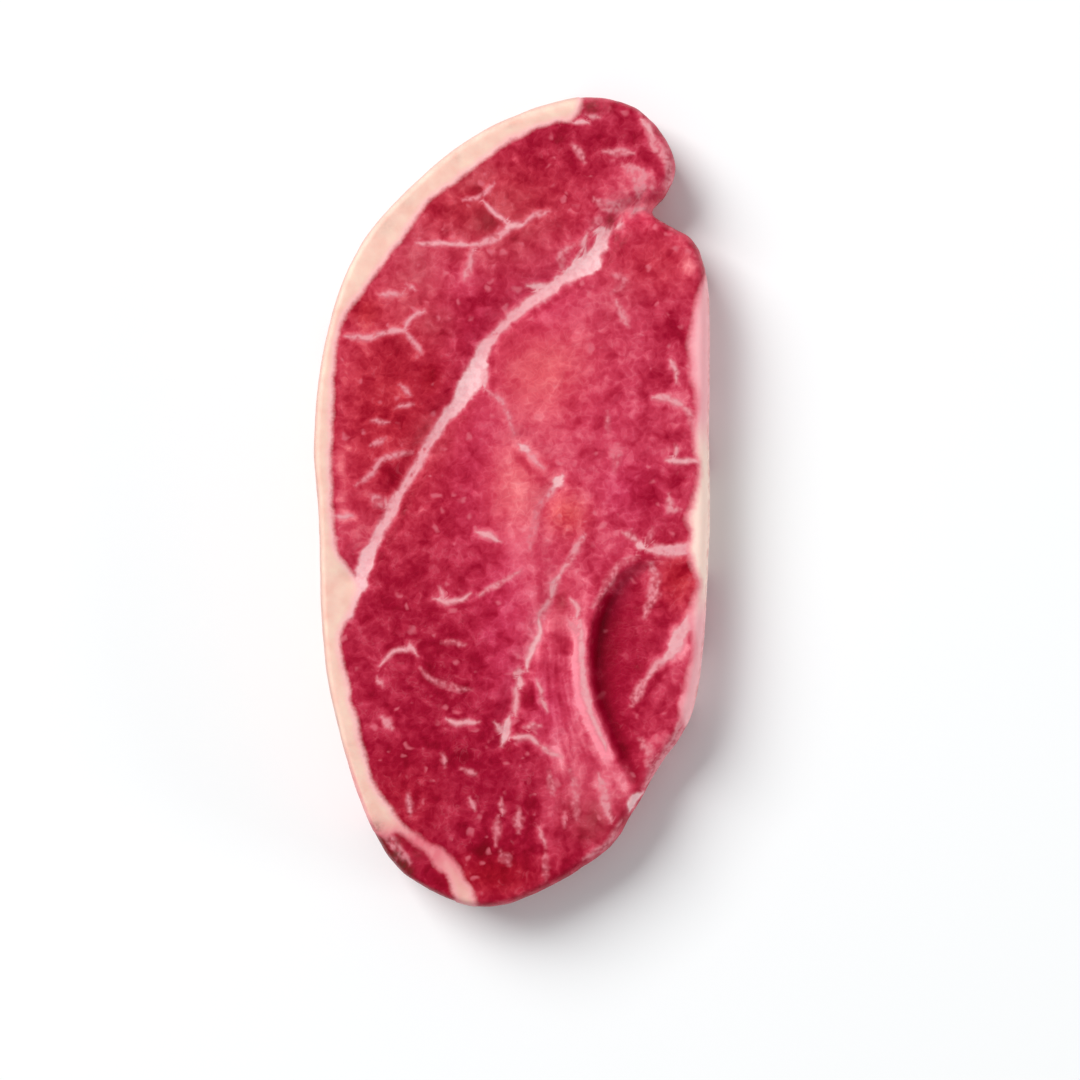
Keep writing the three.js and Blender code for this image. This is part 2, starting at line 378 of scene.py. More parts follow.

# Seams and marbling are strands, and so is a painted highlight along the lip's edge: half-width,
# whiteness from 0 to 1, and the places they run through.
# The seam between the cap muscle and the large muscle has its own half-width at each place.
SEAM = [
    (24.8, 70.6, 0.9), (23.4, 68.5, 1.7), (22.3, 65.8, 2.4), (20.4, 62.8, 2.9), (17, 60.6, 2.3),
    (13, 57.6, 1.7), (8, 54.2, 1.8), (3, 50.6, 1.4), (-1.4, 47.3, 1.3), (-5, 43.2, 1.2), (-8, 38.6, 1.9),
    (-9.8, 33.5, 2.9), (-12.6, 28.2, 2.7), (-15.6, 24, 1.9), (-18.8, 19.8, 1.5), (-22.4, 14, 1.2),
    (-25.2, 9.4, 1.2), (-30.4, 0.2, 1.4), (-35.6, -9.4, 1.6), (-38, -15.4, 2.0), (-40.2, -21, 2.3),
    (-43.5, -28, 2.2),
]
STRANDS = [
    # round the seam
    (0.9, 0.8, [(9, 55.8), (4, 56)]),
    (1.0, 0.7, [(-8.2, 36), (-7.2, 30)]),
    (0.8, 0.5, [(19, 64), (17.8, 67.6), (19, 69.6)]),
    (0.9, 0.25, [(13, 60), (12.4, 64), (15, 66.6)]),
    (0.7, 0.25, [(-7, 29), (-3.5, 26.5), (-1, 22), (0, 18)]),
    (0.9, 0.8, [(24.6, 71), (21.5, 70.5)]),
    (0.9, 0.9, [(28.6, 72.6), (27, 71.4)]),
    # the cap muscle
    (0.7, 0.55, [(-24.5, 67.2), (-20, 66.8), (-14, 67), (-11, 66.4)]),
    (0.9, 0.45, [(-11, 66.4), (-7.4, 67.5), (-3.5, 69.4), (-1, 71.2)]),
    (0.9, 0.75, [(-2, 71), (-0.9, 71.9), (2.5, 72)]),
    (0.6, 0.6, [(-1.4, 72.2), (-2.4, 73.4), (-4.8, 75.2), (-7.4, 78)]),
    (0.6, 0.4, [(2.5, 72), (5, 73.9), (9, 75.4)]),
    (0.7, 0.35, [(-10.4, 65.6), (-11, 62), (-12.4, 58)]),
    (0.7, 0.5, [(-43.4, 43), (-37, 42.6), (-31.2, 44.2), (-28, 45)]),
    (0.6, 0.5, [(-28, 45), (-26.5, 47.5), (-23.4, 49.4)]),
    (0.6, 0.35, [(-27.4, 44), (-26, 41.6), (-24, 39)]),
    (0.6, 0.4, [(-34, 53.8), (-29, 54)]),
    (0.7, 0.3, [(-40.4, 4.6), (-36.2, 8), (-34.2, 10.6), (-30.8, 12.2), (-26.6, 12.6)]),
    (0.6, 0.5, [(-46.4, -3.6), (-42, -3.6)]),
    (0.6, 0.4, [(-28.9, 30), (-27, 28)]),
    (0.7, 0.4, [(-27.2, 56.2), (-25.4, 55)]),
    (0.6, 0.3, [(-30, 24.4), (-26.4, 25.4)]),
    (0.6, 0.3, [(-36.6, 14.6), (-33.4, 16.4)]),
    (0.6, 0.35, [(-36.6, 21), (-32.4, 20.6)]),
    (1.0, 0.2, [(-36.6, 1.6), (-33.6, -1.4)]),
    (0.7, 0.3, [(-12.6, 78.6), (-8, 79.6), (-5, 83)]),
    (0.7, 0.3, [(15.6, 92.8), (17.4, 90.6), (18.4, 89)]),
    # the lobe and the notch
    (0.6, 0.3, [(24, 91.2), (31, 91.2)]),
    (0.9, 0.6, [(33.6, 99.6), (35.6, 97.4), (36.6, 95)]),
    (1.1, 0.3, [(35.6, 97), (37.4, 93), (40, 88.6), (41.2, 84), (40.4, 81)]),
    (1.5, 0.25, [(29, 87.4), (32, 86), (33, 83.4), (32.4, 79.6)]),
    (1.3, 0.1, [(35, 84.6), (36.4, 81.4)]),
    (1.5, 0.2, [(21.6, 78.6), (25, 77), (29.4, 78.2)]),
    (0.9, 0.1, [(20.4, 71.4), (22.4, 74)]),
    (0.7, 0.4, [(30.4, 75.4), (34, 76.6)]),
    (0.7, 0.7, [(16, 98.9), (19.2, 98.8)]),
    (0.6, 0.4, [(19.4, 101), (22, 100.2)]),
    # the fissure in the large muscle
    (1.1, 0.8, [(1.8, 14.6), (4, 13)]),
    (0.6, 0.45, [(3.6, 12.8), (5.5, 10.8), (7.6, 9)]),
    (1.3, 0.9, [(12.4, 6.2), (10.8, 4)]),
    (0.8, 0.5, [(10.6, 4), (9, 1)]),
    (0.9, 0.15, [(8, 0.6), (5.4, -6), (4.2, -12)]),
    (0.8, 0.35, [(18.4, -8.6), (16.2, -11.6), (14.6, -15.4), (12, -19)]),
    (1.0, 0.5, [(12, -19), (10.8, -21.6), (10.2, -24.6)]),
    (0.8, 0.35, [(10, -24.6), (7.8, -27.6), (6.8, -30)]),
    (0.8, 0.8, [(6.8, -30), (7, -33), (5.8, -36.4), (3.8, -41.4), (4, -43.6)]),
    (1.1, 0.45, [(2.6, -44), (0.6, -44.6)]),
    (0.9, 0.75, [(1.8, -45.4), (2, -48)]),
    (0.7, 0.45, [(1, -48), (0.6, -52), (0.8, -55)]),
    (0.9, 0.85, [(-0.8, -56), (-1.8, -59), (-2.8, -62.8)]),
    (0.7, 0.6, [(-2.2, -60), (-4.4, -57.6)]),
    (0.7, 0.55, [(-0.4, -61), (4.4, -61.1), (6.6, -63)]),
    (0.7, 0.45, [(7.6, -63.8), (9.4, -65), (12, -66)]),
    (0.7, 0.35, [(3.4, -58.2), (6.6, -57.8)]),
    (0.6, 0.6, [(15, -25.4), (16.7, -28), (16.5, -30.4)]),
    (0.8, 0.2, [(14.4, -31), (16.4, -33.4), (17.6, -37)]),
    (0.7, 0.4, [(6.4, -46.6), (7.2, -49), (7.8, -51.6), (8.6, -54)]),
    # the large muscle
    (0.8, 0.6, [(-9, -7.8), (-6.6, -9), (-3.6, -10.2)]),
    (0.6, 0.6, [(-20.2, -25.2), (-17.2, -26), (-13.4, -25.4), (-11.6, -24)]),
    (0.5, 0.4, [(-18, -25.4), (-18.8, -22.4)]),
    (0.6, 0.35, [(-8.6, -24), (-5, -22), (-1, -19.6), (1.8, -18.2)]),
    (0.6, 0.55, [(-34.2, -42), (-30.8, -38.8), (-27.4, -38), (-26.6, -37), (-24.8, -39.6)]),
    (0.6, 0.15, [(-23.8, -43.4), (-21, -46), (-17, -47.6), (-11, -48.6)]),
    (1.0, 0.3, [(-33.4, -56), (-31.4, -58.4)]),
    (0.7, 0.6, [(-17, -56.4), (-14.6, -57.5), (-12, -57.1), (-9.2, -57)]),
    (0.7, 0.3, [(-27, -76), (-26.6, -81)]),
    (0.7, 0.3, [(-2.8, -77.6), (-2.6, -81)]),
    (0.8, 0.15, [(-4, -82), (-4.4, -88.6)]),
    (1.1, 0.1, [(-3, -91), (-1.4, -94)]),
    (1.1, 0.2, [(1.4, -80), (1.4, -85.4)]),
    (0.6, 0.3, [(6.8, -85), (8.6, -89.4)]),
    (0.9, 0.1, [(8.6, -91.6), (8.6, -98)]),
    (0.6, 0.1, [(13.4, -81), (13.4, -84)]),
    (0.6, 0.3, [(-18.4, -65.6), (-17.6, -68)]),
    (0.7, 0.25, [(-13, -69.6), (-10, -70.4)]),
    (0.6, 0.3, [(-11, -77), (-10, -79.4)]),
    (0.7, 0.3, [(-35, -45.6), (-34, -47.4)]),
    (0.6, 0.15, [(-18, -36.4), (-13, -36.8)]),
    # the right side
    (0.8, 0.25, [(27, 52), (28, 49), (30, 46)]),
    (0.9, 0.1, [(26, 59), (28.6, 57.6), (26, 54.6)]),
    (0.8, 0.5, [(41, 36.6), (42.2, 34), (42.2, 31.4)]),
    (0.9, 0.5, [(37, 27), (40, 26.8), (44.2, 25.2)]),
    (0.9, 0.3, [(44.2, 25.2), (46, 22), (47.4, 18)]),
    (0.8, 0.1, [(24.6, 23), (24.4, 18.4)]),
    (1.2, 0.05, [(27, 14.6), (26.2, 8.4)]),
    (0.9, 0.7, [(40.2, 10.9), (44, 10.6), (49.4, 10.4)]),
    (0.7, 0.4, [(42, 14), (42, 12)]),
    (0.8, 0.35, [(40.6, 1.6), (40.6, -1.4), (43, -2)]),
    # a painted highlight: a pale strip along the lip's edge
    (0.9, 0.6, [(17.4, -31), (17.8, -40), (18.6, -48), (20.6, -56), (24.2, -64)]),
    # the border of the small muscle
    (1.5, 0.6, [(35.4, -12.3), (40, -12.4), (47, -12)]),
    (1.2, 0.8, [(34, -11.8), (32.2, -11.2)]),
    (0.8, 0.4, [(32.4, -10.8), (30.4, -8.8), (28.6, -8)]),
    (0.7, 0.15, [(35.4, -10.6), (36.2, -7.4)]),
    (0.9, 0.15, [(32, -14.4), (28.4, -15.8), (25.6, -19.2), (23, -23.4), (21, -27)]),
    (1.7, 0.75, [(50, -29), (46, -31.4), (43, -34.6), (41.6, -38), (39.6, -41)]),
    (0.9, 0.5, [(39.8, -40.8), (36.8, -43), (34.4, -46)]),
    (1.1, 0.25, [(34.4, -46), (32.6, -49), (31, -52.4)]),
    (1.3, 0.25, [(36, -16.6), (37, -20.6), (36, -25), (34.4, -29.4)]),
    (1.4, 0.15, [(33.4, -62), (35.4, -65), (35.4, -70)]),
    (1.3, 0.75, [(44.4, -51), (44.8, -54.6)]),
    (1.6, 0.3, [(44.6, -56), (42, -63.4), (38.4, -69.4), (35, -73.6)]),
    (1.3, 1.2, [(33.6, -76.2), (31.8, -77), (30.8, -80.4)]),
    (1.0, 0.35, [(22.4, -71), (23.4, -74.4), (24, -78), (25.4, -82.6)]),
    (0.9, 0.25, [(28, -83), (26.6, -86), (24.4, -89.4), (19, -92.6)]),
    (0.9, 0.15, [(14.8, -69.6), (16, -74), (16.6, -82)]),
    (0.9, 0.15, [(9.4, -70.6), (10.2, -75.6)]),
    # the tail's outer edge
    (1.2, 0.25, [(-34.4, -84), (-32, -87.6), (-29.4, -90.6), (-27.2, -93.4)]),
]
# The seam is whitest where it is wide: half-width and whiteness.
SEAM_WHITE = [(1.1, 0.55), (2.6, 1.15)]
STRAND_END = 0.3
STRAND_SPREAD = 1.25


def strand_fields(x, y):
    """How far aside of the nearest strand, how far from it, its half-width there and its whiteness."""
    signed = np.full(x.shape, 50.0)
    plain = np.full(x.shape, 50.0)
    half_width = np.zeros(x.shape)
    whiteness = np.zeros(x.shape)
    seam = np.array(SEAM)
    lines = [(seam[:, :2], seam[:, 2], np.interp(seam[:, 2], *zip(*SEAM_WHITE)))]
    for width, white, places in STRANDS:
        line = smooth_line(places, 3 * len(places))
        taper = np.sin(np.pi * np.linspace(0, 1, len(line))) ** 0.35
        widths = STRAND_SPREAD * width * (STRAND_END + (1 - STRAND_END) * taper)
        lines.append((line, widths, np.full(len(line), white)))
    for line, widths, whites in lines:
        near = (
            (x > line[:, 0].min() - 6) & (x < line[:, 0].max() + 6)
            & (y > line[:, 1].min() - 6) & (y < line[:, 1].max() + 6)
        )
        off, aside, share = nearest(line, x[near], y[near])
        width = np.interp(share, np.linspace(0, 1, len(widths)), widths)
        wins = off - width < plain[near] - half_width[near]
        pick = np.zeros(x.shape, bool)
        pick[near] = wins
        plain[pick] = off[wins]
        signed[pick] = aside[wins]
        half_width[pick] = width[wins]
        whiteness[pick] = np.interp(share, np.linspace(0, 1, len(whites)), whites)[wins]
    return signed, plain, half_width, whiteness


signed, plain, half_width, whiteness = strand_fields(across, along)

# How pale or dark the lean meat is, with painted shade along the seam, the fissure and the lip's foot:
# soft patches at (x, y), with radii, turn in degrees and tone, and soft streaks with a half-width, a tone
# and the places they run through.
PATCHES = [
    # the cap muscle and the lobe
    (-14, 57, 18, 7, 35, 0.10), (-31, 24, 12, 16, 0, -0.03), (12, 92, 14, 7, -20, -0.08),
    (27, 92, 7, 6, 0, -0.14), (31, 82, 7, 8, 0, 0.24), (-31, 63, 3, 8, -35, 0.12), (-12, 44, 5, 8, 0, -0.05),
    (-28, 56, 7, 13, -35, 0.08),
    (-40, -7, 5, 7, 0, 0.24), (-42, 36, 4, 5, 0, 0.16), (-43, 16, 3, 14, 0, 0.08),
    # the large muscle
    (4, 32, 12, 26, -32, 0.19), (3, -6, 9, 24, 6, 0.32), (10, 31, 4, 10, -10, 0.10), (0, 2, 6, 8, 0, 0.08),
    (24, 40, 16, 22, 0, 0.14), (26, 2, 16, 18, 0, 0.20), (36, 42, 9, 10, 0, -0.06), (33, 2, 5, 8, 0, -0.18),
    (20, 66, 10, 5, 30, 0.08), (45, 61, 4, 7, 0, 0.18), (12, 20, 7, 8, 0, 0.08), (14, -3, 5, 4, 0, 0.10),
    (43, 24, 4, 7, 0, 0.18), (18, -24, 4, 6, 0, 0.18), (-14, -62, 26, 24, 0, -0.13),
    (-28, -26, 12, 16, 0, -0.10), (-21, -42, 12, 9, 0, -0.10), (-30, -72, 9, 12, 30, -0.08),
    (6, -34, 8, 9, 0, 0.23), (-3, -46, 5, 8, 0, 0.12),
    # the tail and the lip
    (-2, -94, 26, 13, 0, -0.08), (14, -62, 8, 14, 8, 0.30), (20, -57, 3.5, 9, 22, 0.18),
    (25, -74, 4, 6, 20, 0.36), (12, -79, 4, 6, 0, 0.14), (14, -42, 4, 6, 0, 0.08),
    # the small muscle: its own darker red, deepened with painted shade where it is sunk beside the lip
    (29, -44, 8, 26, -14, -0.12), (24, -37, 4, 13, -8, -0.22), (27, -60, 4, 9, 28, -0.16),
    (43, -37, 4, 9, -15, 0.38), (36, -66, 3, 6, -20, 0.24),
]
STREAKS = [
    (2.4, 0.42, [(17, -33), (17.2, -45), (18.4, -51), (21, -57), (24.4, -65)]),
    (1.8, 0.22, [(23.4, -64), (26.4, -69.6), (29.4, -74)]),
    # painted shade along the foot of the lip, in the sunk small muscle
    (1.4, -0.16, [(24.4, -25.6), (22.2, -34), (22, -45), (24.8, -55.2), (28.8, -64), (32.6, -72)]),
    (1.6, 0.22, [(-44.6, 13), (-44.2, 5), (-44.2, -4)]),
    # painted shade along both sides of the seam's dip
    (1.0, -0.16, [(24.8, 66), (23.8, 61), (18.4, 58), (12, 53.4), (5, 49)]),
    (0.9, -0.14, [(-7, 41), (-6, 36), (-5.6, 30)]),
    (1.4, -0.10, [(-17.6, 29), (-21, 23), (-26.6, 13), (-31.4, 5)]),
    (1.2, -0.08, [(-25, 4), (-29, -3), (-33, -11), (-36.6, -19)]),
    # painted shade along the fissure
    (1.3, -0.20, [(7.4, 6.4), (5, 8.4), (1.6, 11.4)]),
    (1.2, -0.12, [(7.6, -2), (6.4, -10), (6.8, -18), (7, -26)]),
    (1.2, -0.16, [(35.4, -49.4), (38, -45.4), (40.6, -43)]),
    (1.6, -0.30, [(-36, -86), (-32, -91), (-27, -96)]),
    (1.8, -0.16, [(-22, -96), (-17, -101)]),
]
# Small dark and pale spots of the lean meat: (x, y, radius, tone).
SPOTS = [
    (-6.5, 73, 3.0, -0.26), (-8.6, 82, 1.8, -0.16), (-17.6, 77, 2.0, -0.16), (-18, 70, 1.6, -0.14),
    (12.6, 97, 2.6, -0.18), (8, 89.4, 1.6, -0.12), (35, 90.6, 2.4, -0.16), (0.5, 68.2, 0.9, -0.18),
    (3.6, 58, 2.2, -0.14), (-7, 53.4, 2.4, -0.16), (-15.4, 64, 1.8, -0.14), (-31, 40.8, 3.0, -0.12),
    (-22, 33, 3.4, -0.14), (-31, 7.2, 3.2, -0.22), (-35, -2.6, 1.0, -0.14), (0.6, 89.2, 1.0, 0.18),
    (-2.6, 82.8, 1.0, 0.18), (-16, 68.6, 1.0, 0.16), (-18.6, 51.4, 1.8, 0.14), (-8.6, 49.2, 1.2, 0.20),
    (-15.4, 41, 1.3, 0.16), (-42.6, 14, 0.9, 0.22), (-41.2, 22.4, 0.9, 0.18), (-22.6, 22.4, 1.8, 0.12),
    (16.6, 43, 1.4, 0.14), (8.6, 47.8, 1.5, 0.14), (5.4, 38.4, 1.5, 0.12), (13, 18, 1.0, 0.14),
    (45.2, 61.6, 2.0, 0.18), (24.6, 47.6, 1.8, -0.18), (41, 48, 2.4, -0.18), (43, 43.6, 1.5, -0.16),
    (26, 38, 1.3, -0.14), (38, 33, 2.6, -0.20), (32.6, 28.6, 1.4, -0.12), (-4.2, 31.6, 1.4, -0.12),
    (16.6, 20.6, 1.6, -0.16), (19, 13, 2.4, -0.16), (42, 17, 2.0, -0.12), (43, 6.6, 3.0, -0.16),
    (34.6, 0, 3.4, -0.12), (40.6, -4, 1.6, -0.16), (39.6, -8.6, 2.4, -0.14), (32, -16, 1.6, -0.16),
    (43.4, -18, 2.2, -0.12), (40.6, -26, 2.0, -0.16), (12.4, -26, 2.4, -0.24), (10, -35, 1.4, -0.14),
    (22, -20, 1.6, -0.12), (-4.6, -13, 3.0, -0.14), (-21, -43, 2.0, -0.14), (3.4, -51, 2.0, -0.26),
    (-13, -66, 2.8, -0.24), (-9, -63, 1.0, 0.22), (-32.6, -57, 1.3, 0.16), (-9, -76, 2.6, -0.14),
    (-9, -90, 3.0, -0.18), (3.6, -78, 2.0, -0.20), (5.4, -72.6, 2.0, -0.18), (3, -91, 2.0, -0.12),
    (13, -43, 1.5, -0.16), (22, -81.6, 2.0, -0.20), (19, -86.4, 2.4, -0.18), (14, -93, 2.0, -0.16),
    (-24, -42, 2.4, 0.10), (-18, -48, 2.4, -0.10), (6, -84, 2.6, -0.14), (-6, 60, 2.6, -0.12),
    (12, 72, 2.8, -0.12), (-18, 78, 2.6, 0.12), (24, 54, 2.6, 0.14), (12, -60, 2.4, -0.12),
    (36, 78, 2.4, 0.12),
]


def patch(at_x, at_y, radius_x, radius_y, turn=0.0):
    """A soft oval patch, 1 in its middle."""
    cos, sin = math.cos(math.radians(turn)), math.sin(math.radians(turn))
    dx, dy = across - at_x, along - at_y
    return np.exp(-((dx * cos + dy * sin) / radius_x) ** 2 - ((dy * cos - dx * sin) / radius_y) ** 2)


tone_and_shade = np.zeros(x.shape)
for at_x, at_y, radius_x, radius_y, turn, amount in PATCHES:
    tone_and_shade += amount * patch(at_x, at_y, radius_x, radius_y, turn)
for width, amount, places in STREAKS:
    tone_and_shade += amount * bell(nearest(smooth_line(places, 12), across, along)[0], width)
for at_x, at_y, radius, amount in SPOTS:
    tone_and_shade += amount * bell(np.hypot(across - at_x, along - at_y), radius)

# How lively the mottling is: 1 in most of the meat, and less where the cut is smooth and even.
CALM_PATCHES = [
    (6, 34, 14, 24, -30, 0.60), (2, -4, 9, 22, 0, 0.50), (13, -52, 6, 20, 8, 0.45),
    (26, -44, 6, 24, -12, 0.80),
]
lively = np.ones(x.shape)
for at_x, at_y, radius_x, radius_y, turn, amount in CALM_PATCHES:
    lively *= 1 - amount * patch(at_x, at_y, radius_x, radius_y, turn)

# Where the lean meat is a warmer red than elsewhere: soft patches at (x, y), with radii and strength.
RUDDY_PATCHES = [
    (-32, 26, 18, 34, 0.8), (-8, 78, 26, 14, 0.7), (43, -20, 6, 8, 1.0), (-5, -97, 12, 6, 1.0),
    (-38, 49, 6, 6, 1.0), (-22, 32, 5, 7, 0.9), (38, 62, 12, 9, 0.5), (8, 34, 14, 16, 0.6),
    (0, 4, 10, 14, 0.5), (14, -3, 6, 6, 0.9), (-30, -78, 12, 12, 0.5),
]
ruddy = np.zeros(x.shape)
for at_x, at_y, radius_x, radius_y, strength in RUDDY_PATCHES:
    ruddy = np.maximum(ruddy, strength * patch(at_x, at_y, radius_x, radius_y))

# And where it is a cooler, purplish red, as it is where the air has not reached it.
PURPLE_PATCHES = [
    (-12, 46, 7, 12, 0.8), (-12, 8, 8, 22, 0.7), (-4, -34, 8, 26, 0.9), (27, -40, 6, 20, 1.0),
    (31, 3, 9, 9, 0.9), (8, 49, 10, 8, 0.8), (9, -52, 7, 10, 0.8), (21, 24, 14, 12, 0.4),
]
purple = np.zeros(x.shape)
for at_x, at_y, radius_x, radius_y, strength in PURPLE_PATCHES:
    purple = np.maximum(purple, strength * patch(at_x, at_y, radius_x, radius_y))

# Where a thin film of fat is smeared over the cut and dulls it.
FILM_PATCHES = [
    (-26, 60, 7, 13, 1.0), (-4, 72, 12, 10, 1.0), (-21, 48, 6, 6, 0.8), (-21, 17, 4, 5, 0.8),
    (12, -27, 4, 6, 0.8), (22, -80, 9, 8, 0.9), (-12, 84, 9, 5, 0.8), (26, 54, 6, 6, 0.5),
]
film = np.zeros(x.shape)
for at_x, at_y, radius_x, radius_y, strength in FILM_PATCHES:
    film = np.maximum(film, strength * patch(at_x, at_y, radius_x, radius_y))

# Where the air has dried and browned the meat's edge: (x, y), radius and strength.
BROWN_SPOTS = [
    (20.4, 103.4, 2.6, 0.6), (24.4, 103, 2.2, 0.3), (25.6, 73.2, 1.5, 0.6), (-33.4, 71.6, 2.6, 0.16),
    (-28, 78, 2.2, 0.12), (-1, 98.4, 1.8, 0.14), (-15, 89.6, 1.8, 0.14), (-35.6, -84.4, 1.8, 0.5),
    (-33.8, -88, 2.0, 0.5), (-30.6, -91.6, 1.8, 0.8), (-29.6, -88, 1.8, 0.4), (-28.8, -94, 1.6, 1.0),
    (-25, -91.4, 1.6, 0.3), (-27, -96, 1.6, 0.6),
]
browned = np.zeros(x.shape)
for at_x, at_y, radius, strength in BROWN_SPOTS:
    browned = np.maximum(browned, strength * bell(np.hypot(across - at_x, along - at_y), radius))

# Where the fibres lie over and show as streaks, in the tail and beside the lip. They run straight down
# the tail, and lean over to follow the lip nearer to it.
FIBRES = [(13, -38), (14, -54), (15, -70), (10, -84), (2, -92)]
FIBRES_HALF_WIDTH = 9.5
STRAIGHT_FIBRE = 3.0
LEANING_FIBRE = [(95, 42), (78, 33), (67, 27), (56, 22), (44, 19.3), (20, 22)]
fibrous = bell(nearest(smooth_line(FIBRES, 12), across, along)[0], FIBRES_HALF_WIDTH)
leaning_y, leaning_x = np.array(LEANING_FIBRE[::-1]).T
leaning = np.interp(-along, leaning_y, leaning_x)
fan_width = leaning_x.mean() - STRAIGHT_FIBRE
fan = (across - STRAIGHT_FIBRE) / (leaning - STRAIGHT_FIBRE) * fan_width


# ---- The slice's surface ------------------------------------------------------------------------
# Raw meat is never smooth: bundles of fibre stand up a little between their sheaths, the walls are
# ribbed from face to face where the fibres were, and the fat is lumpy. It is all cut in from the
# slice's form, so nothing reaches past it. The underside is pressed flat by the board.

# Each relief has a size across, a depth, and how many times longer it is up the slice.
BUNDLE = (3.6, 0.14, 4)
FINE_BUNDLE = (1.7, 0.05, 4)
FAT_LUMP = (7, 0.14, 1)
FINE_FAT_LUMP = (2.4, 0.04, 1)
RIB = (2.6, 0.12, 7)
BROAD_RIB = (11, 0.10, 2)
RIBS_IN_FAT = 0.15
STRAND_STANDS_UP = 0.35
PRESSED_FLAT = 2.5


def relief(kind, seed):
    """How deep that relief is cut in."""
    size, deep, longer = kind
    return deep * (1 - lumps(size, seed, x, y, z / longer))


in_fat = smoothstep(np.maximum(fat_depth, rim_depth), -0.3, 0.5)
in_strand = smoothstep(half_width - plain, -0.4, 0.2)
bundles = relief(BUNDLE, 5) + relief(FINE_BUNDLE, 6)
fat_lumps = relief(FAT_LUMP, 7) + relief(FINE_FAT_LUMP, 8)
ribs = relief(RIB, 9) + relief(BROAD_RIB, 10)
cut_in = (1 - in_fat) * (bundles + is_wall * ribs) + in_fat * (fat_lumps + RIBS_IN_FAT * is_wall * ribs)
cut_in = cut_in * (1 - STRAND_STANDS_UP * in_strand)
off_board = smoothstep(z, 0.0, PRESSED_FLAT)
surface = grid - outward * (cut_in * off_board)[..., None]

mesh = bpy.data.meshes.new("rump_steak_meat")
middle = np.array([(edge[:, 0].min() + edge[:, 0].max()) / 2, (edge[:, 1].min() + edge[:, 1].max()) / 2, 0])
mesh.from_pydata(((surface.reshape(-1, 3) - middle) * MM).tolist(), [], faces)
mesh.polygons.foreach_set("use_smooth", [True] * len(mesh.polygons))


def give(name, kind, values):
    """Stores a value for each point of the mesh, for the material to read."""
    field = mesh.attributes.new(name, kind, "POINT")
    field.data.foreach_set("value" if kind == "FLOAT" else "vector", np.ravel(values).astype(np.float32))


give("fat_depth", "FLOAT", fat_depth)
give("rim_depth", "FLOAT", rim_depth)
give("cream", "FLOAT", cream)
give("outer_shade", "FLOAT", outer_shade)
give("wall", "FLOAT", wall)
give("tone_and_shade", "FLOAT", tone_and_shade)
give("lively", "FLOAT", lively)
give("fibrous", "FLOAT", fibrous)
give("browned", "FLOAT", browned)
give("ruddy", "FLOAT", ruddy)
give("purple", "FLOAT", purple)
give("film", "FLOAT", film)
give("whiteness", "FLOAT", whiteness)
give("strand", "FLOAT_VECTOR", np.stack([signed, plain, half_width], -1))
give("grain", "FLOAT_VECTOR", np.stack([across, along, z / 5], -1))
give("lie", "FLOAT_VECTOR", np.stack([fan, along, z / 5], -1))

meat = bpy.data.objects.new("rump_steak_meat", mesh)
bpy.context.collection.objects.link(meat)


# ---- The meat's material ------------------------------------------------------------------------
# Moist raw beef: bundles of fibre in every red from dark crimson to pink, with pale sheaths between
# them, flecks and threads of marbling, white strands, and the creamy fat of the rim.
def linear(red, green, blue):
    """A colour as seen on a screen, 0 to 255, as the light that a surface sends back."""
    parts = [c / 255 for c in (red, green, blue)]
    return tuple(c / 12.92 if c <= 0.04045 else ((c + 0.055) / 1.055) ** 2.4 for c in parts) + (1.0,)


LEAN_TONES = [
    (0.00, (120, 0, 22)), (0.18, (138, 0, 31)), (0.34, (156, 8, 43)), (0.50, (178, 35, 63)),
    (0.66, (200, 60, 86)), (0.82, (222, 96, 116)), (1.00, (246, 142, 156)),
]
FAT_TONES = [(0.0, (232, 178, 162)), (0.35, (236, 190, 174)), (0.65, (238, 198, 181)), (1.0, (240, 207, 186))]
STRAND_PINK = (214, 106, 122)
STRAND_WHITE = (242, 192, 195)
RIM_PINK = (246, 178, 184)
RIM_ROSE = (232, 128, 142)
SALMON = (224, 110, 124)
PALE_SALMON = (238, 158, 162)
WALL_ROSE = (208, 130, 128)
RIM_CREAM = (252, 220, 206)
RUDDY_TINT = (255, 238, 202)
PURPLE_TINT = (255, 226, 255)
# the painted shade of the fat's outer side
SHADED_OUTER_FAT = (200, 158, 146)
BROWN = (96, 44, 36)
FILM = (192, 102, 106)

material = bpy.data.materials.new("raw_beef")
material.use_nodes = True
tree = material.node_tree
shader = tree.nodes["Principled BSDF"]


def join(source, socket):
    """Feeds a socket from another one, or sets it to a plain value."""
    if isinstance(source, bpy.types.NodeSocket):
        tree.links.new(source, socket)
    else:
        socket.default_value = source


def sums(kind, *values):
    """A sum or another piece of arithmetic on those values."""
    node = tree.nodes.new("ShaderNodeMath")
    node.operation = kind
    for value, socket in zip(values, node.inputs):
        join(value, socket)
    return node.outputs[0]


def step_between(value, low, high, out_low=0.0, out_high=1.0):
    """A smooth step from out_low to out_high as the value goes from low to high."""
    node = tree.nodes.new("ShaderNodeMapRange")
    node.interpolation_type = "SMOOTHSTEP"
    for setting, socket in zip((value, low, high, out_low, out_high), node.inputs):
        join(setting, socket)
    return node.outputs[0]


def blend(share, first, second):
    """The first colour where the share is 0 and the second where it is 1."""
    node = tree.nodes.new("ShaderNodeMix")
    node.data_type = "RGBA"
    join(share, node.inputs["Factor"])
    join(first, node.inputs["A"])
    join(second, node.inputs["B"])
    return node.outputs["Result"]


def tinted(share, colour, tint):
    """The colour, seen through the tint by that share."""
    seen = blend(share, colour, tint)
    seen.node.blend_type = "MULTIPLY"
    return seen


def read(name, part="Fac"):
    """What the mesh stores under that name."""
    node = tree.nodes.new("ShaderNodeAttribute")
    node.attribute_name = name
    return node.outputs[part]


